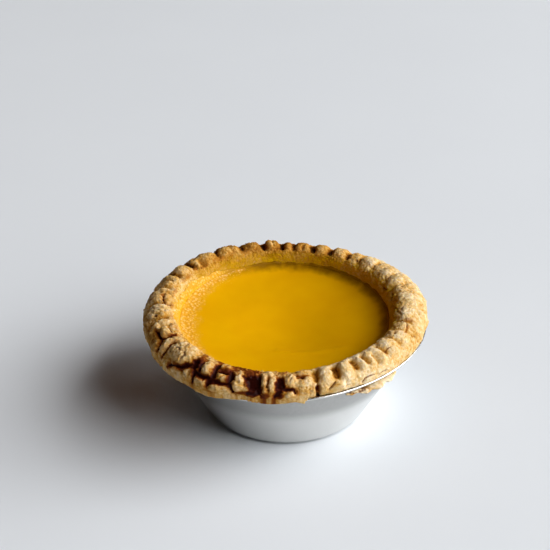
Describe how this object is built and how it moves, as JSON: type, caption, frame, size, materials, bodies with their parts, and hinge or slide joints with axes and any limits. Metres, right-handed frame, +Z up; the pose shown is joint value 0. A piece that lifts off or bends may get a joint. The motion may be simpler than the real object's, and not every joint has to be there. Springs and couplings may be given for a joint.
{
  "type": "egg tart",
  "caption": "Small round egg tart with a hand-crimped shortcrust rim and set yellow custard, standing in its own plain pressed metal tin.",
  "frame": {"origin": "centre of the tin's flat foot, on the surface the tart stands on", "axes": "+Z up out of the custard, -Y towards the viewer's side of the tart with the darkest baked crimps just left of it, +X to the right"},
  "size_m": [0.073, 0.0731, 0.031],
  "materials": {
    "tin": "satin, pressed",
    "pastry_case": "baked shortcrust, matt with dark baked sugar in the cracks",
    "custard": "set egg custard, smooth and slightly moist",
    "pastry_scrap": "baked shortcrust, pale and crumbly"
  },
  "bodies": {
    "root": {"tin": "tin", "pastry_case": "pastry_case", "custard": "custard", "pastry_scrap": "pastry_scrap"}
  },
  "joints": []
}
